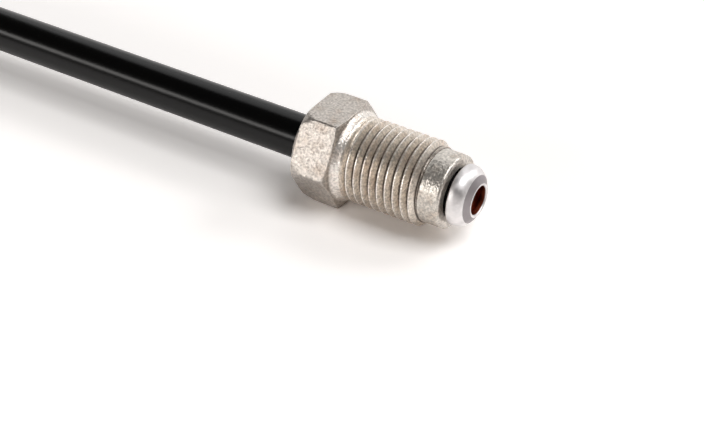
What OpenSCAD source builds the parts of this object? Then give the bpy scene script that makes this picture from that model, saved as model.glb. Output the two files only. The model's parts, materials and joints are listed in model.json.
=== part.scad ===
// Brake line: a straight, coated steel tube with a bubble flare on each end and
// a loose tube nut behind each flare. All lengths are in millimetres.
// X runs along the tube, the photographed end is at +X, Z is up, and the lower
// flats of the two nuts lie on Z = 0 with the middle of the line at X = 0.

/* [Tube] */
// Overall length of the line, from flare tip to flare tip
line_length = 203; // [120:1:600]
// Outside diameter of the bare steel tube
tube_od = 4.75; // [4.6:0.05:4.9]
// Wall thickness of the steel tube
tube_wall = 0.7; // [0.6:0.05:0.8]
// Thickness of the black coating over the steel
coating_wall = 0.23; // [0.15:0.01:0.4]
// Bare steel left between the end of the coating and the flare
coating_setback = 0.2; // [0.1:0.05:1]

/* [Bubble flare] */
// Largest diameter of the flare
flare_d = 7.1; // [6.9:0.05:7.4]
// Length of the flare, from its shoulder to its tip
flare_length = 2.3; // [2.25:0.05:2.6]
// Full angle of the cone that seals on the seat of the port
seat_angle = 115; // [112:1:118]
// Radius of the bulge between the sealing cone and the largest diameter
bulge_radius = 1.7; // [1.6:0.05:1.75]
// Rounding of the lip round the mouth of the bore
lip_radius = 0.2; // [0.1:0.05:0.3]
// Rounding of the shoulder that the nut pushes on
shoulder_radius = 0.25; // [0.1:0.05:0.3]
// Depth of the fold that the bulge leaves inside, from the bore outwards
fold_depth = 0.75; // [0.5:0.05:0.9]

/* [Tube nut] */
// Width of the hexagon across its flats
hex_af = 11.1; // [10.9:0.1:12]
// Length of the hexagon
hex_length = 5.25; // [4.5:0.05:8]
// Diameter at which the end faces of the hexagon meet their chamfers
hex_face_d = 11; // [10.5:0.1:11]
// Angle between the rear chamfer of the hexagon and the axis of the nut
rear_chamfer_angle = 44; // [28:1:45]
// Angle between the front chamfer of the hexagon and its front face
front_chamfer_angle = 17; // [10:1:30]
// Radius of the fillet between the hexagon and the shank
shank_fillet = 1.45; // [1.2:0.05:2]
// Ledge of the hexagon's front face that the fillet leaves at each flat
face_ledge = 0.12; // [0.05:0.01:0.2]
// Outside diameter of the thread
thread_d = 9.85; // [9.75:0.05:10]
// Length from the hexagon to the end of the thread
shank_length = 10.6; // [9:0.1:16]
// Depth of the run-out that leads from the thread down towards the pilot
thread_runout = 0.5; // [0.3:0.05:0.6]
// Diameter of the plain pilot at the nose of the nut
pilot_d = 8.5; // [8.3:0.05:8.6]
// Length of the plain pilot
pilot_length = 2.55; // [2:0.05:4]
// Rounding of the outer edge of the nose
nose_radius = 0.35; // [0.1:0.05:0.4]
// Chamfer at both mouths of the bore of the nut
mouth_chamfer = 0.3; // [0.1:0.05:0.5]

/* [Clearances] */
// Radial clearance between the bore of the nut and the coating
nut_clearance = 0.08; // [0.05:0.01:0.1]
// Free length between the nose of the nut and the shoulder of the flare
nut_gap = 0.5; // [0.3:0.1:3]

/* [Hidden] */
// Facets in a full turn, for the round surfaces
$fn = 96;
// Overlap that keeps cutting faces off the faces that they cut
cut = 1;

half_length = line_length / 2;
axis_height = hex_af / 2;
tube_r = tube_od / 2;
bore_r = tube_r - tube_wall;
coating_r = tube_r + coating_wall;
coating_half = half_length - flare_length - coating_setback;

// The flare's profile is drawn with the radius as X and the distance back
// from the tip as Y. The cone is tangent to the round lip and to the bulge.
flare_r = flare_d / 2;
cone_angle = seat_angle / 2;
lip_r = bore_r + lip_radius;
bulge_r = flare_r - bulge_radius;
bulge_y = lip_radius
    + ((bulge_r - lip_r) * cos(cone_angle) + bulge_radius - lip_radius) / sin(cone_angle);
cone_start = [lip_r + lip_radius * cos(cone_angle), lip_radius * (1 - sin(cone_angle))];
cone_end = [bulge_r + bulge_radius * cos(cone_angle), bulge_y - bulge_radius * sin(cone_angle)];
// The fold is a groove between the wall of the cone and the wall of the shoulder
fold_r = bore_r + fold_depth;
fold_back = flare_length - tube_wall;
fold_front = lip_radius
    + (tube_wall - lip_radius * (1 + cos(cone_angle))) / sin(cone_angle);
fold_root = fold_front + fold_depth / tan(cone_angle);

// The nut's profile is drawn with the radius as X and the distance forward
// from its rear face as Y
thread_r = thread_d / 2;
pilot_r = pilot_d / 2;
hex_corner_r = hex_af / sqrt(3);
hex_face_r = hex_face_d / 2;
chamfer_r = hex_corner_r + cut;
rear_chamfer = (chamfer_r - hex_face_r) / tan(rear_chamfer_angle);
front_chamfer = (chamfer_r - hex_face_r) * tan(front_chamfer_angle);
thread_end = hex_length + shank_length;
nut_length = thread_end + pilot_length;
fillet_step = hex_af / 2 - face_ledge - thread_r;
fillet_reach = sqrt(2 * shank_fillet * fillet_step - fillet_step * fillet_step);
nut_bore_r = coating_r + nut_clearance;
nut_rear_x = half_length - flare_length - nut_gap - nut_length;

// Lays a shape that was drawn along Z on the axis of the line
module along_line(x = 0) {
    translate([x, 0, axis_height])
        rotate([0, 90, 0])
            children();
}

// Outline of the flare's solid metal, with its cone, bulge and shoulder
module flare_outline() {
    translate([lip_r, lip_radius]) circle(r = lip_radius);
    polygon([cone_start, cone_end, [bulge_r, bulge_y], [bore_r, bulge_y],
             [bore_r, lip_radius], [lip_r, lip_radius]]);
    intersection() {
        translate([bulge_r, bulge_y]) circle(r = bulge_radius);
        polygon([cone_end, [bulge_r, bulge_y], [flare_r, bulge_y], [flare_r, cone_end[1]]]);
    }
    translate([bore_r, bulge_y])
        square([flare_r - bore_r, flare_length - shoulder_radius - bulge_y]);
    translate([bore_r, bulge_y])
        square([flare_r - shoulder_radius - bore_r, flare_length - bulge_y]);
    translate([flare_r - shoulder_radius, flare_length - shoulder_radius])
        circle(r = shoulder_radius);
}

// Section of the fold that the bulge leaves on the inside of the tube
module fold_outline() {
    polygon([[bore_r - cut, fold_front], [bore_r, fold_front], [fold_r, fold_root],
             [fold_r, fold_back], [bore_r - cut, fold_back]]);
}

// Half of the tube's section, from the middle of the line to its tip
module half_tube_outline() {
    difference() {
        union() {
            translate([bore_r, 0]) square([tube_wall, half_length - bulge_y]);
            translate([0, half_length]) mirror([0, 1]) flare_outline();
        }
        translate([0, half_length]) mirror([0, 1]) fold_outline();
    }
}

// Steel tube, one piece with the bubble flare on each of its ends
module steel_tube() {
    color("silver")
        along_line()
            rotate_extrude() {
                half_tube_outline();
                mirror([0, 1]) half_tube_outline();
            }
}

// Black coating, a thin sleeve that fits the tube from flare to flare
module black_coating() {
    color("black")
        along_line()
            rotate_extrude()
                translate([tube_r, -coating_half])
                    square([coating_wall, 2 * coating_half]);
}

// Hexagon with two flats level, and its corners chamfered at both ends
module nut_hexagon() {
    intersection() {
        rotate([0, 0, 30]) cylinder(h = hex_length, r = hex_corner_r, $fn = 6);
        rotate_extrude()
            polygon([[0, 0], [hex_face_r, 0], [chamfer_r, rear_chamfer],
                     [chamfer_r, hex_length - front_chamfer], [hex_face_r, hex_length],
                     [0, hex_length]]);
    }
}

// Outline of the shank: fillet at the hexagon, thread diameter, pilot and nose
module shank_outline() {
    difference() {
        translate([0, hex_length - cut]) square([thread_r + fillet_step, cut + fillet_reach]);
        translate([thread_r + shank_fillet, hex_length + fillet_reach]) circle(r = shank_fillet);
    }
    polygon([[0, hex_length], [thread_r, hex_length], [thread_r, thread_end - thread_runout],
             [thread_r - thread_runout, thread_end], [0, thread_end]]);
    square([pilot_r, nut_length - nose_radius]);
    square([pilot_r - nose_radius, nut_length]);
    translate([pilot_r - nose_radius, nut_length - nose_radius]) circle(r = nose_radius);
}

// Section of the hole through the nut, with a chamfer at each mouth
module nut_bore_outline() {
    mouth_r = nut_bore_r + mouth_chamfer;
    translate([0, -cut]) square([nut_bore_r, nut_length + 2 * cut]);
    for (end = [0, 1])
        translate([0, end * nut_length])
            mirror([0, end])
                polygon([[0, -cut], [mouth_r + cut, -cut], [nut_bore_r, mouth_chamfer], [0, mouth_chamfer]]);
}

// Tube nut that stands on its rear face and points its nose along +Z
module tube_nut() {
    color("darkkhaki")
        difference() {
            union() {
                nut_hexagon();
                rotate_extrude() shank_outline();
            }
            rotate_extrude() nut_bore_outline();
        }
}

// Nut at the photographed end, its nose towards the flare at +X
module front_nut() {
    along_line(nut_rear_x) tube_nut();
}

// Nut at the far end, its nose towards the flare at -X
module rear_nut() {
    mirror([1, 0, 0]) front_nut();
}

steel_tube();
black_coating();
front_nut();
rear_nut();
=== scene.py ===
"""Brake line: a coated steel tube with a bubble flare and a threaded tube nut at each end."""

import json
import math

import bmesh
import bpy
from bpy.props import FloatProperty, FloatVectorProperty, IntProperty, PointerProperty
from bpy.types import Operator, Panel, PropertyGroup
from mathutils import Matrix, Vector


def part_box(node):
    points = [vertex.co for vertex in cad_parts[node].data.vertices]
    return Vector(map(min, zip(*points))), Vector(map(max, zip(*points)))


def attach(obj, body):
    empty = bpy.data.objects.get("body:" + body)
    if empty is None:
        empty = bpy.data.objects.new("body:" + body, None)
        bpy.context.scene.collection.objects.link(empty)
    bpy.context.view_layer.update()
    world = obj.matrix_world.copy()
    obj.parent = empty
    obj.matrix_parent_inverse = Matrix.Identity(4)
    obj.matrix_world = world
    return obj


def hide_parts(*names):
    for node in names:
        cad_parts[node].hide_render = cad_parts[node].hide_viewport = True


bl_info = {
    "name": "Brake line",
    "version": (1, 0, 0),
    "blender": (4, 5, 0),
    "location": "3D View > Sidebar > Brake line",
    "description": "Coated steel brake line with bubble flares and threaded tube nuts",
    "category": "Add Mesh",
}

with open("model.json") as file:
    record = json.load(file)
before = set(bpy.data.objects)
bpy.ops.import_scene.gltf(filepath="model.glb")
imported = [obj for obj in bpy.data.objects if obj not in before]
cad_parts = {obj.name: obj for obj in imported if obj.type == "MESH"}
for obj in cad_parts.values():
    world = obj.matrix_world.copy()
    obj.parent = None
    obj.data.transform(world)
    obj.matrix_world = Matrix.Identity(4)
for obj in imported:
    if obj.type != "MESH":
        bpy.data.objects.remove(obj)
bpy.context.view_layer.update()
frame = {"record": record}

# Lengths are in metres. The line runs along X, with its front end at +X, and Z is up
MM = 0.001
MOUNTS = {mount["name"]: mount for mount in frame["record"]["mounts"]}
TUBE_LOW, TUBE_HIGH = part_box("steel_tube")
COATING_LOW, COATING_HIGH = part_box("black_coating")
NUT_LOW, NUT_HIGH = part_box("front_nut")
FLARE_RADIUS = (TUBE_HIGH.z - TUBE_LOW.z) / 2
COATING_RADIUS = (COATING_HIGH.z - COATING_LOW.z) / 2
FLAT_RADIUS = (NUT_HIGH.z - NUT_LOW.z) / 2
NUT_LENGTH = NUT_HIGH.x - NUT_LOW.x
AXIS_HEIGHT = (NUT_LOW.z + NUT_HIGH.z) / 2
ON_AXIS = Matrix.Translation((0, 0, AXIS_HEIGHT))

# Vertices closer than this become one, and edges that bend more than this stay sharp
MERGE = 0.001 * MM
SHARP_ANGLE = math.radians(50)

# Faces round the tube and its coating, and steps along the crown of the hexagon's rear corners
TUBE_COLUMNS = 128
CROWN_STEPS = 12

# Angle from one corner of the hexagon to the next
SECTOR = math.tau / 6

# The rounding of an edge lies within this many of its own radii from the sharp edge
EDGE_REACH = 0.9

# Metric thread with flanks at 60 degrees, in pitches: depth to the sharp root, and the two roundings
SHARP_DEPTH = 7 / 16 * math.sqrt(3)
ROOT_ROUND = 0.1
CREST_ROUND = 0.02

# Extra points near both ends of a flank, as shares of its length, which keep it straight in smooth shading
FLANK_ENDS = (0.06, 0.76)

# The first turn begins this many pitches behind the thread, which then deepens over this many
LEAD_IN = 1.3
FADE_IN = 0.8

# Detail of the noise that all the finishes use
NOISE_DETAIL = 3.0

# Lamps: azimuth and elevation in degrees, distance, width and height in metres, radiance and colour
LAMPS = {
    "front_softbox": (-27, 19.5, 0.6, 0.5, 0.12, 5.6, "#fffcf9"),
    "right_panel": (93, 67, 0.9, 0.6, 0.6, 4.1, "#ffffff"),
    "rim_softbox": (145, 36, 0.8, 0.3, 0.2, 8.0, "#ffffff"),
    "back_panel": (-150, 45, 0.9, 0.6, 0.5, 1.2, "#ffffff"),
}

# Studio paper: how far the floor reaches, the bend at its end, the height of the wall, and the faces round it
SWEEP_REACH = 1.8
SWEEP_BEND = 0.5
SWEEP_HEIGHT = 1.0
SWEEP_COLUMNS = 96

# The paper's glow comes up between these distances behind the line, and the room's narrows with this power
LIFT_START = 0.15
LIFT_END = 0.9
GLOW_POWER = 4.0

# Numbers of the colour sockets of a Mix node, whose names repeat for each kind of data
MIX_FACTOR, MIX_FIRST, MIX_SECOND, MIX_RESULT = 0, 6, 7, 2


def srgb(text):
    """Linear colour with alpha from an sRGB hex value."""
    parts = [int(text[k : k + 2], 16) / 255 for k in (1, 3, 5)]
    return [c / 12.92 if c <= 0.04045 else ((c + 0.055) / 1.055) ** 2.4 for c in parts] + [1.0]


def length(name, description, default):
    """A property that holds a length in metres, shown in the scene's units."""
    return FloatProperty(
        name=name, description=description, default=default, min=0, unit="LENGTH", precision=5
    )


def angle(name, description, degrees):
    """A property that holds an angle, given in degrees."""
    return FloatProperty(name=name, description=description, default=math.radians(degrees), subtype="ANGLE")


def colour(name, description, text):
    """A property that holds a colour, given as an sRGB hex value."""
    return FloatVectorProperty(
        name=name, description=description, default=srgb(text), size=4, subtype="COLOR"
    )


def number(name, description, default, low=0):
    """A property that holds a plain number."""
    return FloatProperty(name=name, description=description, default=default, min=low)


def count(name, description, default, low):
    """A property that holds a number of faces."""
    return IntProperty(name=name, description=description, default=default, min=low)


class BrakeTubeSettings(PropertyGroup):
    """Sizes and colours of the tube, its flares and its coating."""

    bore_radius: length("Bore radius", "Radius of the bore", MOUNTS["tube_bore"]["dims"]["r_mm"] * MM)
    coating_wall: length("Coating wall", "Thickness of the black coating", 0.23 * MM)
    flare_length: length("Flare length", "Length of the flare, from its shoulder to its tip", 2.3 * MM)
    bulge_radius: length("Bulge radius", "Radius between the sealing cone and the largest diameter", 1.7 * MM)
    lip_radius: length("Lip radius", "Rounding of the lip round the mouth of the bore", 0.2 * MM)
    shoulder_radius: length("Shoulder radius", "Rounding of the shoulder that the nut pushes on", 0.25 * MM)
    fold_depth: length("Fold depth", "Depth of the fold inside the bulge", 0.75 * MM)
    seat_angle: angle("Seat angle", "Full angle of the sealing cone", 115)
    coating_colour: colour("Coating colour", "Colour of the black coating", "#040404")
    steel_colour: colour("Steel colour", "Colour of the bare steel", "#eeebeb")
    # The cone's darker grey is partly a painted dark reflection, beside the dull finish that the die gives it
    cone_shaded_colour: colour("Cone colour", "Colour of the sealing cone", "#a09a9c")
    copper_colour: colour("Copper colour", "Colour of the brazed bore", "#9a5038")


class TubeNutSettings(PropertyGroup):
    """Sizes and colours of the two tube nuts."""

    hexagon_length: length("Hexagon length", "Length of the hexagon", 5.25 * MM)
    corner_round: length("Corner rounding", "Rounding of the six long corners", 0.3 * MM)
    rear_face: length("Rear face radius", "Radius at which the rear face meets its chamfer", 4.95 * MM)
    rear_rim: length("Rear rim radius", "Radius at which that chamfer meets the crowned corners", 5.98 * MM)
    rear_crown: length("Rear crown", "How far the crown of the corners reaches forward", 2.4 * MM)
    front_face: length("Front face radius", "Radius at which the front face meets its chamfer", 5.43 * MM)
    rear_chamfer: angle("Rear chamfer", "Angle between the rear chamfer and the axis", 60)
    front_chamfer: angle("Front chamfer", "Angle between the front chamfer and the front face", 17)
    edge_round: length("Edge rounding", "Rounding of the turned edges", 0.08 * MM)
    front_edge: length("Front edge", "Rounding between the flats and the front chamfer", 0.13 * MM)
    fillet_radius: length("Fillet radius", "Radius of the fillet ahead of the hexagon", 1.45 * MM)
    fillet_step: length("Fillet step", "How far the fillet climbs up the face of the hexagon", 0.49 * MM)
    thread_radius: length(
        "Thread radius", "Radius at the crests", MOUNTS["front_thread"]["dims"]["r_mm"] * MM
    )
    thread_pitch: length("Thread pitch", "Distance from one crest to the next", 1 * MM)
    thread_start: length("Thread start", "Where the thread leaves the fillet, from the rear face", 5.95 * MM)
    thread_end: length("Thread end", "Where the thread ends, from the rear face", 15.85 * MM)
    pilot_radius: length("Pilot radius", "Radius of the plain pilot", 4.25 * MM)
    nose_round: length("Nose rounding", "Rounding of the outer edge of the nose", 0.35 * MM)
    bore_radius: length("Bore radius", "Radius of the hole for the coated tube", 2.685 * MM)
    mouth_chamfer: length("Mouth chamfer", "Chamfer at both mouths of the hole", 0.3 * MM)
    corner_columns: count("Corner columns", "Faces across each long corner", 8, 4)
    flat_columns: count("Flat columns", "Faces across each flat", 18, 6)
    plate_colour: colour("Plate colour", "Colour of the plating on the hexagon", "#bfb8b1")
    pilot_colour: colour("Pilot colour", "Colour of the plating on the pilot", "#d2ccc4")
    # Painted highlight: this pale colour on the crests and the fillet stands in for the light they catch
    painted_crest_highlight: colour("Crest colour", "Colour of the plating on the crests and the fillet", "#efe8e1")
    groove_colour: colour("Groove colour", "Colour of the plating down in the grooves", "#ddd4c9")
    # Painted shade: this dark colour at the bottom of the grooves stands in for the shade down there
    painted_root_shade: colour("Root colour", "Colour at the bottom of the grooves", "#3c3028")
    stain_colour: colour("Stain colour", "Tint of the browner clouds in the plating", "#e8dbd0")


class StudioSettings(PropertyGroup):
    """Camera, floor and room."""

    lens: number("Lens", "Focal length in millimetres", 84.47, low=1)
    camera_azimuth: angle("Camera azimuth", "Angle round the vertical", 32.84)
    camera_elevation: angle("Camera elevation", "Angle above the floor", 36.76)
    camera_roll: angle("Camera roll", "Turn about the view direction", -0.385)
    camera_distance: length("Camera distance", "Distance from the middle of the picture", 185.5 * MM)
    camera_aim: length("Camera aim", "Point of the axis looked at, from the line's middle", 85.127 * MM)
    camera_drop: length("Camera drop", "How far the picture's middle lies below that point", 6.979 * MM)
    floor_colour: colour("Floor colour", "Colour of the floor", "#cbc6c3")
    floor_gain: number("Floor gain", "Extra whiteness of the floor where it is seen", 0.76)
    far_lift: number("Far lift", "Glow of the far side of the floor where it is seen", 0.85)
    glow_azimuth: angle("Glow azimuth", "Where the room is brightest", -154)
    room_colour: colour("Room colour", "Colour of the dim side of the room", "#3c3a38")
    glow_colour: colour("Glow colour", "Colour of the bright side of the room", "#5c5a58")


def add_node(tree, kind, inputs=None, **settings):
    """Adds a node with its settings and inputs, whose keys are names, or numbers where names repeat.

    An input is a value, a socket, or a node whose first output is used.
    """
    made = tree.nodes.new(kind)
    for name, value in settings.items():
        setattr(made, name, value)
    for key, value in (inputs or {}).items():
        if isinstance(value, bpy.types.Node):
            tree.links.new(value.outputs[0], made.inputs[key])
        elif isinstance(value, bpy.types.NodeSocket):
            tree.links.new(value, made.inputs[key])
        else:
            made.inputs[key].default_value = value
    return made


def new_material(name):
    """An empty material and its node tree."""
    material = bpy.data.materials.new(name)
    material.use_nodes = True
    material.node_tree.nodes.clear()
    return material, material.node_tree


def per_mm(size):
    """Scale of a pattern in object coordinates whose features measure this many millimetres."""
    return 1 / (size * MM)


def axis_distance(tree, place):
    """Socket that gives a point's distance from the line's axis, in metres."""
    split = add_node(tree, "ShaderNodeSeparateXYZ", {"Vector": place})
    up = add_node(tree, "ShaderNodeMath", {0: split.outputs["Z"], 1: AXIS_HEIGHT}, operation="SUBTRACT")
    flat = add_node(tree, "ShaderNodeCombineXYZ", {"Y": split.outputs["Y"], "Z": up})
    return add_node(tree, "ShaderNodeVectorMath", {0: flat}, operation="LENGTH").outputs["Value"]


def radial_tint(tree, radius, settings):
    """Colour of the plating by the distance from the axis: pilot, painted shade at the bottom of the thread,
    painted highlight on the crests and the fillet, and flats.
    """
    top, root = settings.thread_radius, thread_root(settings)
    low, high = root - 0.1 * MM, top + 0.7 * MM
    share = add_node(tree, "ShaderNodeMapRange", {"Value": radius, "From Min": low, "From Max": high})
    ramp = add_node(tree, "ShaderNodeValToRGB", {"Fac": share})
    stops = (
        (root - 0.01 * MM, settings.pilot_colour),
        # Painted shade at the bottom of the grooves
        (root, settings.painted_root_shade),
        (root + 0.12 * MM, settings.groove_colour),
        (top - 0.04 * MM, settings.groove_colour),
        # Painted highlight on the crests, the shank and the fillet, fading back to the plate towards the face
        # of the hexagon
        (top, settings.painted_crest_highlight),
        (top + 0.25 * MM, settings.painted_crest_highlight),
        (settings.front_face - 0.05 * MM, settings.plate_colour),
    )
    for place, tint in stops:
        ramp.color_ramp.elements.new((place - low) / (high - low)).color = tint
    # The ramp's own two stops at its ends aren't needed beside these
    for end in (0, -1):
        ramp.color_ramp.elements.remove(ramp.color_ramp.elements[end])
    return ramp.outputs["Color"]


def zinc_nickel_plate(settings):
    """Zinc-nickel electroplate on turned steel: matt, fine crystalline grain, with a dark brown painted shade
    at the bottom of the grooves and a painted highlight on the crests and the fillet.
    """
    material, tree = new_material("zinc_nickel_plate")
    place = add_node(tree, "ShaderNodeTexCoord").outputs["Object"]
    # The real crystals measure a few thousandths of a millimetre: they are drawn as coarse as needed to show
    grain = add_node(
        tree, "ShaderNodeTexNoise", {"Vector": place, "Scale": per_mm(0.27), "Detail": NOISE_DETAIL}
    )
    cloud = add_node(
        tree, "ShaderNodeTexNoise", {"Vector": place, "Scale": per_mm(1.6), "Detail": NOISE_DETAIL}
    )
    stain = add_node(
        tree, "ShaderNodeMapRange", {"Value": cloud.outputs["Fac"], "From Min": 0.5, "From Max": 0.85}
    )
    clean = radial_tint(tree, axis_distance(tree, place), settings)
    stained = add_node(
        tree,
        "ShaderNodeMix",
        {MIX_FACTOR: stain, MIX_FIRST: clean, MIX_SECOND: settings.stain_colour},
        data_type="RGBA",
        blend_type="MULTIPLY",
    )
    mottle = add_node(
        tree,
        "ShaderNodeMapRange",
        {"Value": grain.outputs["Fac"], "From Min": 0.36, "From Max": 0.64, "To Min": 0.74, "To Max": 1.24},
    )
    mottled = add_node(
        tree,
        "ShaderNodeMix",
        {MIX_FACTOR: 1.0, MIX_FIRST: stained.outputs[MIX_RESULT], MIX_SECOND: mottle},
        data_type="RGBA",
        blend_type="MULTIPLY",
    )
    rough = add_node(
        tree,
        "ShaderNodeMapRange",
        {"Value": cloud.outputs["Fac"], "From Min": 0.3, "From Max": 0.7, "To Min": 0.27, "To Max": 0.36},
    )
    bump = add_node(
        tree, "ShaderNodeBump", {"Strength": 1.0, "Distance": 0.075 * MM, "Height": grain.outputs["Fac"]}
    )
    shader = add_node(
        tree,
        "ShaderNodeBsdfPrincipled",
        {
            "Base Color": mottled.outputs[MIX_RESULT],
            "Metallic": 0.82,
            "Roughness": rough,
            "Normal": bump,
        },
    )
    add_node(tree, "ShaderNodeOutputMaterial", {"Surface": shader})
    return material


def cold_formed_steel(settings):
    """Bare low-carbon steel after cold forming: bright, with soft patches left by the die."""
    material, tree = new_material("cold_formed_steel")
    place = add_node(tree, "ShaderNodeTexCoord").outputs["Object"]
    patch = add_node(
        tree, "ShaderNodeTexNoise", {"Vector": place, "Scale": per_mm(1.1), "Detail": NOISE_DETAIL}
    )
    rough = add_node(
        tree,
        "ShaderNodeMapRange",
        {"Value": patch.outputs["Fac"], "From Min": 0.3, "From Max": 0.7, "To Min": 0.36, "To Max": 0.55},
    )
    shade = add_node(
        tree,
        "ShaderNodeMapRange",
        {"Value": patch.outputs["Fac"], "From Min": 0.35, "From Max": 0.65, "To Min": 0.8, "To Max": 1.0},
    )
    patched = add_node(
        tree,
        "ShaderNodeMix",
        {MIX_FACTOR: 1.0, MIX_FIRST: settings.steel_colour, MIX_SECOND: shade},
        data_type="RGBA",
        blend_type="MULTIPLY",
    )
    bump = add_node(
        tree, "ShaderNodeBump", {"Strength": 0.5, "Distance": 0.05 * MM, "Height": patch.outputs["Fac"]}
    )
    shader = add_node(
        tree,
        "ShaderNodeBsdfPrincipled",
        {
            "Base Color": patched.outputs[MIX_RESULT],
            "Metallic": 1.0,
            "Roughness": rough,
            "Normal": bump,
        },
    )
    add_node(tree, "ShaderNodeOutputMaterial", {"Surface": shader})
    return material


def coined_shaded_steel(settings):
    """Steel of the sealing cone, which the flaring die coins: dull, and darker grey, partly as a painted dark
    reflection.
    """
    material, tree = new_material("coined_shaded_steel")
    place = add_node(tree, "ShaderNodeTexCoord").outputs["Object"]
    patch = add_node(
        tree, "ShaderNodeTexNoise", {"Vector": place, "Scale": per_mm(0.5), "Detail": NOISE_DETAIL}
    )
    rough = add_node(
        tree,
        "ShaderNodeMapRange",
        {"Value": patch.outputs["Fac"], "From Min": 0.3, "From Max": 0.7, "To Min": 0.4, "To Max": 0.55},
    )
    shader = add_node(
        tree,
        "ShaderNodeBsdfPrincipled",
        {"Base Color": settings.cone_shaded_colour, "Metallic": 0.8, "Roughness": rough},
    )
    add_node(tree, "ShaderNodeOutputMaterial", {"Surface": shader})
    return material


def brazed_copper(settings):
    """Copper film left in the bore by furnace brazing: red-brown and half dull."""
    material, tree = new_material("brazed_copper")
    place = add_node(tree, "ShaderNodeTexCoord").outputs["Object"]
    film = add_node(
        tree, "ShaderNodeTexNoise", {"Vector": place, "Scale": per_mm(0.6), "Detail": NOISE_DETAIL}
    )
    rough = add_node(
        tree,
        "ShaderNodeMapRange",
        {"Value": film.outputs["Fac"], "From Min": 0.3, "From Max": 0.7, "To Min": 0.35, "To Max": 0.55},
    )
    shader = add_node(
        tree,
        "ShaderNodeBsdfPrincipled",
        {"Base Color": settings.copper_colour, "Metallic": 1.0, "Roughness": rough},
    )
    add_node(tree, "ShaderNodeOutputMaterial", {"Surface": shader})
    return material


def extruded_polyamide(settings):
    """Extruded black polyamide: glossy, with faint waves drawn out along the tube."""
    material, tree = new_material("extruded_polyamide")
    place = add_node(tree, "ShaderNodeTexCoord").outputs["Object"]
    drawn = add_node(tree, "ShaderNodeMapping", {"Vector": place, "Scale": (0.35, 1.0, 1.0)})
    wave = add_node(
        tree, "ShaderNodeTexNoise", {"Vector": drawn, "Scale": per_mm(0.8), "Detail": NOISE_DETAIL}
    )
    bump = add_node(
        tree, "ShaderNodeBump", {"Strength": 0.3, "Distance": 0.02 * MM, "Height": wave.outputs["Fac"]}
    )
    shader = add_node(
        tree,
        "ShaderNodeBsdfPrincipled",
        {"Base Color": settings.coating_colour, "Roughness": 0.22, "IOR": 1.33, "Normal": bump},
    )
    add_node(tree, "ShaderNodeOutputMaterial", {"Surface": shader})
    return material


def rounded(corners, steps=4, closed=False):
    """Chain of points from corners given as (distance, radius, rounding), each corner turned into an arc."""
    points = []
    last = len(corners) - 1
    for k, (x, radius, rounding) in enumerate(corners):
        here = Vector((x, radius))
        if rounding == 0 or (not closed and k in (0, last)):
            points.append(here)
            continue
        back = (Vector(corners[k - 1][:2]) - here).normalized()
        ahead = (Vector(corners[(k + 1) % len(corners)][:2]) - here).normalized()
        half = back.angle(ahead) / 2
        centre = here + (back + ahead).normalized() * rounding / math.sin(half)
        first = (here + back * rounding / math.tan(half) - centre).normalized()
        final = (here + ahead * rounding / math.tan(half) - centre).normalized()
        points += [centre + first.slerp(final, step / steps) * rounding for step in range(steps + 1)]
    return points


def arc(centre, radius, first, last, steps):
    """Points on an arc between two angles from the line's direction."""
    angles = [first + (last - first) * step / steps for step in range(steps + 1)]
    return [Vector((centre[0] + radius * math.cos(a), centre[1] + radius * math.sin(a))) for a in angles]


def spin(bm, outline, columns, advance=0.0, closed=False, material=0):
    """Turns an outline of (distance, radius) points once about the X axis, moving it along by advance."""
    known = set(bm.faces)
    verts = [bm.verts.new((point[0], point[1], 0)) for point in outline]
    edges = [bm.edges.new(pair) for pair in zip(verts, verts[1:])]
    if closed:
        edges.append(bm.edges.new((verts[-1], verts[0])))
    bmesh.ops.spin(
        bm,
        geom=verts + edges,
        cent=(0, 0, 0),
        axis=(1, 0, 0),
        dvec=(advance / columns, 0, 0),
        angle=math.tau,
        steps=columns,
        use_merge=advance == 0,
    )
    for face in set(bm.faces) - known:
        face.material_index = material


def new_piece(name, bm, place, materials):
    """Object at the origin with its place in its mesh, smooth apart from its sharp edges."""
    bmesh.ops.recalc_face_normals(bm, faces=bm.faces)
    bmesh.ops.transform(bm, matrix=place, verts=bm.verts)
    mesh = bpy.data.meshes.new(name)
    bm.to_mesh(mesh)
    bm.free()
    for material in materials:
        mesh.materials.append(material)
    mesh.shade_smooth()
    mesh.set_sharp_from_angle(angle=SHARP_ANGLE)
    piece = bpy.data.objects.new(name, mesh)
    bpy.context.scene.collection.objects.link(piece)
    return piece


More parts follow.
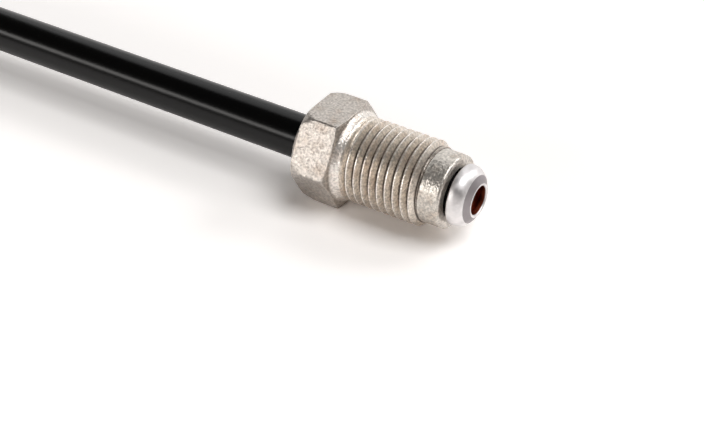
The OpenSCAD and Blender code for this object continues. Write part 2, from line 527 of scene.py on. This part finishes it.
def tube_chains(settings):
    """Half of the tube's section as (distance, radius): inside, lip, sealing cone and outside."""
    tip = TUBE_HIGH.x
    tube_r = COATING_RADIUS - settings.coating_wall
    bore_r = settings.bore_radius
    wall = tube_r - bore_r
    # The sealing cone is tangent to the round lip and to the bulge
    lip, bulge, cone = settings.lip_radius, settings.bulge_radius, settings.seat_angle / 2
    lip_r, bulge_r = bore_r + lip, FLARE_RADIUS - bulge
    bulge_back = lip + ((bulge_r - lip_r) * math.cos(cone) + bulge - lip) / math.sin(cone)
    # The fold is the hollow between the wall of the cone and the wall of the shoulder
    fold_r = bore_r + settings.fold_depth
    fold_back = settings.flare_length - wall
    fold_front = lip + (wall - lip * (1 + math.cos(cone))) / math.sin(cone)
    fold_root = fold_front + settings.fold_depth / math.tan(cone)
    shoulder = tip - settings.flare_length
    soft = 0.06 * MM
    inside = rounded(
        [
            (0, bore_r, 0),
            (tip - fold_back, bore_r, soft * 2),
            (tip - fold_back, fold_r, soft * 2),
            (tip - fold_root, fold_r, soft),
            (tip - fold_front, bore_r, soft),
            (tip - lip, bore_r, 0),
        ]
    )
    mouth = arc((tip - lip, lip_r), lip, -math.pi / 2, math.pi / 2 - cone, steps=6)
    outside = arc((tip - bulge_back, bulge_r), bulge, math.pi / 2 - cone, math.pi / 2, steps=14)
    seat = [mouth[-1], mouth[-1].lerp(outside[0], 0.5), outside[0]]
    outside += rounded(
        [
            (tip - bulge_back, FLARE_RADIUS, 0),
            (shoulder, FLARE_RADIUS, settings.shoulder_radius),
            (shoulder, tube_r, soft * 2),
            (0, tube_r, 0),
        ],
        steps=5,
    )[1:]
    return inside, mouth, seat, outside[::-1]


class BRAKE_LINE_OT_steel_tube(Operator):
    """Make the steel tube with its two bubble flares"""

    bl_idname = "brake_line.steel_tube"
    bl_label = "Steel tube"

    def execute(self, context):
        settings = context.scene.brake_tube
        metals = [cold_formed_steel(settings), brazed_copper(settings), coined_shaded_steel(settings)]
        steel, copper, coined_shaded = range(len(metals))
        bm = bmesh.new()
        # The sealing cone gets its own darker steel, partly a painted dark reflection
        for chain, metal in zip(tube_chains(settings), (copper, steel, coined_shaded, steel)):
            for side in (1, -1):
                spin(bm, [Vector((side * x, r)) for x, r in chain], TUBE_COLUMNS, material=metal)
        bmesh.ops.remove_doubles(bm, verts=bm.verts, dist=MERGE)
        tube = new_piece("flared_tube", bm, ON_AXIS, metals)
        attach(tube, "line")
        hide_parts("steel_tube")
        return {"FINISHED"}


class BRAKE_LINE_OT_coating(Operator):
    """Make the black coating over the tube"""

    bl_idname = "brake_line.coating"
    bl_label = "Black coating"

    def execute(self, context):
        settings = context.scene.brake_tube
        outer, inner = COATING_RADIUS, COATING_RADIUS - settings.coating_wall
        end = COATING_HIGH.x
        soft = 0.08 * MM
        corners = [(-end, inner, 0), (-end, outer, soft), (end, outer, soft), (end, inner, 0)]
        bm = bmesh.new()
        spin(bm, rounded(corners, closed=True), TUBE_COLUMNS, closed=True)
        sleeve = new_piece("coating_sleeve", bm, ON_AXIS, [extruded_polyamide(settings)])
        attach(sleeve, "line")
        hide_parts("black_coating")
        return {"FINISHED"}


def fillet_sweep(settings):
    """Angle that the fillet turns through on its way up the face of the hexagon."""
    return math.acos(1 - settings.fillet_step / settings.fillet_radius)


def fillet_end(settings):
    """Distance from the rear face at which the fillet runs out on the shank."""
    return settings.hexagon_length + settings.fillet_radius * math.sin(fillet_sweep(settings))


def shank_fillet(settings):
    """Points of the fillet, from the thread's start back to the face of the hexagon."""
    radius, end = settings.fillet_radius, fillet_end(settings)
    first = math.asin((end - settings.thread_start) / radius)
    centre = (end, settings.thread_radius + radius)
    return arc(centre, radius, -math.pi / 2 - first, -math.pi / 2 - fillet_sweep(settings), steps=10)


def shank_radius(settings, x):
    """Radius of the shank before its thread, which still widens where the fillet begins."""
    into = max(fillet_end(settings) - x, 0)
    return settings.thread_radius + settings.fillet_radius - math.sqrt(settings.fillet_radius**2 - into**2)


def rear_corner(settings):
    """Points of the crown on a long corner, from its front end back to the rim of the rear chamfer."""
    chamfer = (settings.rear_rim - settings.rear_face) / math.tan(settings.rear_chamfer)
    rim = Vector((chamfer, settings.rear_rim))
    reach, rise = settings.rear_crown - rim.x, corner_reach(settings) - rim.y
    shares = [step / CROWN_STEPS for step in range(CROWN_STEPS, -1, -1)]
    return [(rim.x + reach * share, rim.y + rise * (1 - (1 - share) ** 2)) for share in shares]


def nut_section(settings):
    """The nut's section from its thread's start back round the hexagon and the hole to the thread's end."""
    hexagon, corner, front = settings.hexagon_length, corner_reach(settings), settings.front_face
    front_chamfer = (corner - front) * math.tan(settings.front_chamfer)
    bore, chamfer, edge = settings.bore_radius, settings.mouth_chamfer, settings.edge_round
    ledge_round, pilot_fillet = 0.02 * MM, 0.05 * MM
    *crown, rim = rear_corner(settings)
    points = shank_fillet(settings)
    points += rounded(
        [
            (*points[-1], 0),
            (hexagon, front, ledge_round),
            (hexagon - front_chamfer, corner, settings.front_edge),
            *((*point, 0) for point in crown),
            (*rim, edge),
            (0, settings.rear_face, edge),
            (0, bore + chamfer, edge),
            (chamfer, bore, edge),
            (NUT_LENGTH - chamfer, bore, edge),
            (NUT_LENGTH, bore + chamfer, edge),
            (NUT_LENGTH, settings.pilot_radius, settings.nose_round),
            (settings.thread_end, settings.pilot_radius, pilot_fillet),
            (settings.thread_end, thread_root(settings), 0),
        ],
        steps=6,
    )[1:]
    return points


def thread_root(settings):
    """Radius at the bottom of the rounded grooves."""
    return settings.thread_radius - (SHARP_DEPTH - ROOT_ROUND) * settings.thread_pitch


def thread_outline(settings):
    """One pitch of the thread, from the middle of one crest to the middle of the next."""
    pitch, top = settings.thread_pitch, settings.thread_radius
    crest = Vector((pitch / 16, top))
    root = Vector((pitch / 2, top - SHARP_DEPTH * pitch))
    flank = [(*crest.lerp(root, share), 0) for share in FLANK_ENDS]
    half = [(0, top, 0), (*crest, CREST_ROUND * pitch), *flank]
    other_half = [(pitch - x, radius, rounding) for x, radius, rounding in half[::-1]]
    return rounded(half + [(*root, ROOT_ROUND * pitch)] + other_half)


def corner_arc(settings):
    """Distance of the centre of a corner's rounding from the axis, and half of the angle that it takes up."""
    rounding, tilt = settings.corner_round, math.cos(SECTOR / 2)
    centre = (FLAT_RADIUS - rounding) / tilt
    return centre, math.atan2(rounding / 2, centre + rounding * tilt)


def corner_reach(settings):
    """Radius at the six rounded corners."""
    return corner_arc(settings)[0] + settings.corner_round


def hexagon_radius(settings, turn):
    """Radius of the rounded hexagon at an angle from its nearest corner."""
    centre, half = corner_arc(settings)
    if abs(turn) < half:
        return centre * math.cos(turn) + math.sqrt(settings.corner_round**2 - (centre * math.sin(turn)) ** 2)
    return FLAT_RADIUS / math.cos(SECTOR / 2 - abs(turn))


def hexagon_place(settings, x, radius, turn):
    """Moves a point of the hexagon's section at a long corner to its place at an angle from there."""
    end, face = settings.hexagon_length, settings.front_face
    corner, here = corner_reach(settings), hexagon_radius(settings, turn)
    slope = math.tan(settings.front_chamfer)
    # The rounding between a flat and the front chamfer keeps its form and follows their edge
    past = Vector((x, radius)) - Vector((end - (corner - face) * slope, corner))
    if past.length < settings.front_edge * EDGE_REACH:
        return end - (here - face) * slope + past.x, here + past.y
    # Behind it the flats cut off the turned chamfer and its crown
    if x < end / 2:
        return x, min(radius, here)
    # Ahead of it the chamfer shrinks towards the front face
    size = (here - face) / (corner - face)
    return end - (end - x) * size, face + (radius - face) * size


def spread_columns(settings, even):
    """Angle of an evenly placed column once the corners have their share, and its turn from the nearest."""
    share = settings.corner_columns / (settings.corner_columns + settings.flat_columns) / 2
    nearest = round(even / SECTOR)
    place = even / SECTOR - nearest
    half = corner_arc(settings)[1]
    if abs(place) <= share:
        turn = half * place / share
    else:
        turn = math.copysign(half + (abs(place) - share) / (0.5 - share) * (SECTOR / 2 - half), place)
    return nearest * SECTOR + turn, turn


def make_nut(settings):
    """Mesh of a nut with its rear face at zero and its nose along X."""
    columns = 6 * (settings.corner_columns + settings.flat_columns)
    pitch, top, root = settings.thread_pitch, settings.thread_radius, thread_root(settings)
    start, end = settings.thread_start, settings.thread_end
    bm = bmesh.new()
    spin(bm, nut_section(settings), columns)
    body = set(bm.verts)
    # One turn of the helix and its copies along the shank
    first = start - LEAD_IN * pitch
    spin(bm, [Vector((first, 0)) + point for point in thread_outline(settings)], columns, advance=pitch)
    one_turn = [vert for vert in bm.verts if vert not in body]
    one_turn += list({face for vert in one_turn for face in vert.link_faces})
    for turn in range(1, math.ceil((end - first) / pitch) + 1):
        copied = bmesh.ops.duplicate(bm, geom=one_turn)["geom"]
        moved = [item for item in copied if isinstance(item, bmesh.types.BMVert)]
        bmesh.ops.translate(bm, verts=moved, vec=(turn * pitch, 0, 0))
    for vert in bm.verts:
        x, radius = vert.co.x, math.hypot(vert.co.y, vert.co.z)
        even = math.atan2(vert.co.z, vert.co.y) % math.tau
        around, turn = spread_columns(settings, even)
        if vert not in body:
            # The thread deepens smoothly out of the fillet, and ends in a chamfer down to its root
            x = min(max(x + pitch * (around - even) / math.tau, start), end)
            fade = min((x - start) / (FADE_IN * pitch), 1)
            radius = shank_radius(settings, x) - (top - radius) * fade * fade * (3 - 2 * fade)
            radius = min(radius, root + end - x)
        elif radius > settings.front_face:
            x, radius = hexagon_place(settings, x, radius, turn)
        vert.co = (x, radius * math.cos(around), radius * math.sin(around))
    bmesh.ops.remove_doubles(bm, verts=bm.verts, dist=MERGE)
    return bm


class BRAKE_LINE_OT_tube_nuts(Operator):
    """Make the two tube nuts with their helical threads"""

    bl_idname = "brake_line.tube_nuts"
    bl_label = "Tube nuts"

    def execute(self, context):
        settings = context.scene.tube_nut
        plate = zinc_nickel_plate(settings)
        for node, body, turn in (("front_nut", "front_tube_nut", 0), ("rear_nut", "rear_tube_nut", math.pi)):
            place = ON_AXIS @ Matrix.Rotation(turn, 4, "Z") @ Matrix.Translation((NUT_LOW.x, 0, 0))
            nut = new_piece("threaded_" + node, make_nut(settings), place, [plate])
            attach(nut, body)
            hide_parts(node)
        return {"FINISHED"}


def direction(azimuth, elevation):
    """Unit vector towards an azimuth, where 0 is the front and 90 degrees the right, and an elevation."""
    flat = math.cos(elevation)
    return Vector((math.sin(azimuth) * flat, -math.cos(azimuth) * flat, math.sin(elevation)))


def paper_sweep(settings):
    """White studio paper: matt, whitened for the eye and for reflections, so that only the shadow shows."""
    material, tree = new_material("paper_sweep")
    rays = add_node(tree, "ShaderNodeLightPath")
    seen = rays.outputs["Is Camera Ray"]
    for kind in ("Is Glossy Ray", "Is Transmission Ray"):
        seen = add_node(tree, "ShaderNodeMath", {0: seen, 1: rays.outputs[kind]}, operation="MAXIMUM")
    place = add_node(tree, "ShaderNodeTexCoord").outputs["Object"]
    away = add_node(
        tree,
        "ShaderNodeVectorMath",
        {0: place, 1: direction(settings.glow_azimuth, 0)},
        operation="DOT_PRODUCT",
    ).outputs["Value"]
    lift = add_node(
        tree,
        "ShaderNodeMapRange",
        {"Value": away, "From Min": LIFT_START, "From Max": LIFT_END, "To Max": settings.far_lift},
    )
    strength = add_node(tree, "ShaderNodeMath", {0: seen, 1: lift}, operation="MULTIPLY")
    paper = add_node(tree, "ShaderNodeBsdfDiffuse", {"Color": settings.floor_colour})
    glow = add_node(tree, "ShaderNodeEmission", {"Color": (1, 1, 1, 1), "Strength": strength})
    gain = add_node(tree, "ShaderNodeMath", {0: seen, 1: settings.floor_gain}, operation="MULTIPLY")
    white = add_node(tree, "ShaderNodeBsdfDiffuse", {"Color": gain})
    whitened = add_node(tree, "ShaderNodeAddShader", {0: paper, 1: white})
    surface = add_node(tree, "ShaderNodeAddShader", {0: whitened, 1: glow})
    add_node(tree, "ShaderNodeOutputMaterial", {"Surface": surface})
    return material


def studio_room(settings):
    """World that is dim overhead and in front, and brightens towards the horizon behind the line."""
    world = bpy.data.worlds.new("studio_room")
    world.use_nodes = True
    tree = world.node_tree
    tree.nodes.clear()
    ray = add_node(tree, "ShaderNodeTexCoord").outputs["Generated"]
    facing = add_node(
        tree,
        "ShaderNodeVectorMath",
        {0: ray, 1: direction(settings.glow_azimuth, 0)},
        operation="DOT_PRODUCT",
    ).outputs["Value"]
    ahead = add_node(tree, "ShaderNodeMath", {0: facing, 1: 0.0}, operation="MAXIMUM")
    glow = add_node(tree, "ShaderNodeMath", {0: ahead, 1: GLOW_POWER}, operation="POWER")
    tint = add_node(
        tree,
        "ShaderNodeMix",
        {MIX_FACTOR: glow, MIX_FIRST: settings.room_colour, MIX_SECOND: settings.glow_colour},
        data_type="RGBA",
    )
    room = add_node(tree, "ShaderNodeBackground", {"Color": tint.outputs[MIX_RESULT], "Strength": 1.0})
    add_node(tree, "ShaderNodeOutputWorld", {"Surface": room})
    return world


def add_camera(settings):
    """Camera at the photograph's viewpoint, with its slight roll."""
    back = direction(settings.camera_azimuth, settings.camera_elevation)
    right = Vector((0, 0, 1)).cross(back).normalized()
    up = back.cross(right)
    middle = Vector((settings.camera_aim, 0, AXIS_HEIGHT)) - up * settings.camera_drop
    camera = bpy.data.objects.new("camera", bpy.data.cameras.new("camera"))
    camera.data.lens = settings.lens
    camera.data.sensor_width = 36
    camera.data.clip_start, camera.data.clip_end = 0.01, 10
    turn = Matrix((right, up, back)).transposed().to_4x4() @ Matrix.Rotation(settings.camera_roll, 4, "Z")
    camera.matrix_world = Matrix.Translation(middle + back * settings.camera_distance) @ turn
    bpy.context.scene.collection.objects.link(camera)
    return camera


def add_panel(name, aim, azimuth, elevation, distance, wide, high, brightness, tint):
    """Soft rectangular lamp that faces the aim point; its brightness is the radiance of its surface."""
    light = bpy.data.lights.new(name, "AREA")
    light.shape = "RECTANGLE"
    light.size, light.size_y = wide, high
    light.energy = brightness * math.pi * wide * high
    light.color = srgb(tint)[:3]
    lamp = bpy.data.objects.new(name, light)
    towards = direction(math.radians(azimuth), math.radians(elevation))
    lamp.location = aim + towards * distance
    lamp.rotation_euler = towards.to_track_quat("Z", "Y").to_euler()
    bpy.context.scene.collection.objects.link(lamp)


def add_sweep(settings):
    """Round floor of studio paper that bends up into a wall all the way round."""
    corners = [(0, 0, 0), (SWEEP_REACH, 0, SWEEP_BEND), (SWEEP_REACH, SWEEP_HEIGHT, 0)]
    bm = bmesh.new()
    verts = [bm.verts.new((point[0], 0, point[1])) for point in rounded(corners, steps=12)]
    edges = [bm.edges.new(pair) for pair in zip(verts, verts[1:])]
    bmesh.ops.spin(
        bm,
        geom=verts + edges,
        cent=(0, 0, 0),
        axis=(0, 0, 1),
        angle=math.tau,
        steps=SWEEP_COLUMNS,
        use_merge=True,
    )
    bmesh.ops.remove_doubles(bm, verts=bm.verts, dist=MERGE)
    bmesh.ops.recalc_face_normals(bm, faces=bm.faces)
    mesh = bpy.data.meshes.new("sweep")
    bm.to_mesh(mesh)
    bm.free()
    mesh.shade_smooth()
    mesh.materials.append(paper_sweep(settings))
    sweep = bpy.data.objects.new("sweep", mesh)
    bpy.context.scene.collection.objects.link(sweep)
    return sweep


class BRAKE_LINE_OT_studio(Operator):
    """Set the camera, the lamps, the room and the floor"""

    bl_idname = "brake_line.studio"
    bl_label = "Studio"

    def execute(self, context):
        settings = context.scene.studio
        scene = context.scene
        scene.view_settings.view_transform = "Standard"
        scene.camera = add_camera(settings)
        aim = Vector((NUT_HIGH.x, 0, AXIS_HEIGHT))
        for name, lamp in LAMPS.items():
            add_panel(name, aim, *lamp)
        scene.world = studio_room(settings)
        sweep = add_sweep(settings)
        return {"FINISHED"}


class BRAKE_LINE_PT_panel(Panel):
    """Lists the settings and the operators of the brake line"""

    bl_label = "Brake line"
    bl_space_type = "VIEW_3D"
    bl_region_type = "UI"
    bl_category = "Brake line"

    def draw(self, context):
        for name in SETTINGS:
            settings = getattr(context.scene, name)
            box = self.layout.box()
            for setting in settings.__annotations__:
                box.prop(settings, setting)
        for operator in OPERATORS:
            self.layout.operator(operator.bl_idname)


SETTINGS = {"brake_tube": BrakeTubeSettings, "tube_nut": TubeNutSettings, "studio": StudioSettings}
OPERATORS = (
    BRAKE_LINE_OT_studio,
    BRAKE_LINE_OT_steel_tube,
    BRAKE_LINE_OT_coating,
    BRAKE_LINE_OT_tube_nuts,
)


def register():
    """Adds the settings, the operators and the panel."""
    for name, group in SETTINGS.items():
        bpy.utils.register_class(group)
        setattr(bpy.types.Scene, name, PointerProperty(type=group))
    for item in (*OPERATORS, BRAKE_LINE_PT_panel):
        bpy.utils.register_class(item)


def unregister():
    """Takes them away again."""
    for item in (BRAKE_LINE_PT_panel, *reversed(OPERATORS)):
        bpy.utils.unregister_class(item)
    for name, group in SETTINGS.items():
        delattr(bpy.types.Scene, name)
        bpy.utils.unregister_class(group)


def main():
    """Builds the scene."""
    register()
    bpy.ops.brake_line.studio()
    bpy.ops.brake_line.steel_tube()
    bpy.ops.brake_line.coating()
    bpy.ops.brake_line.tube_nuts()


if __name__ == "__main__":
    main()
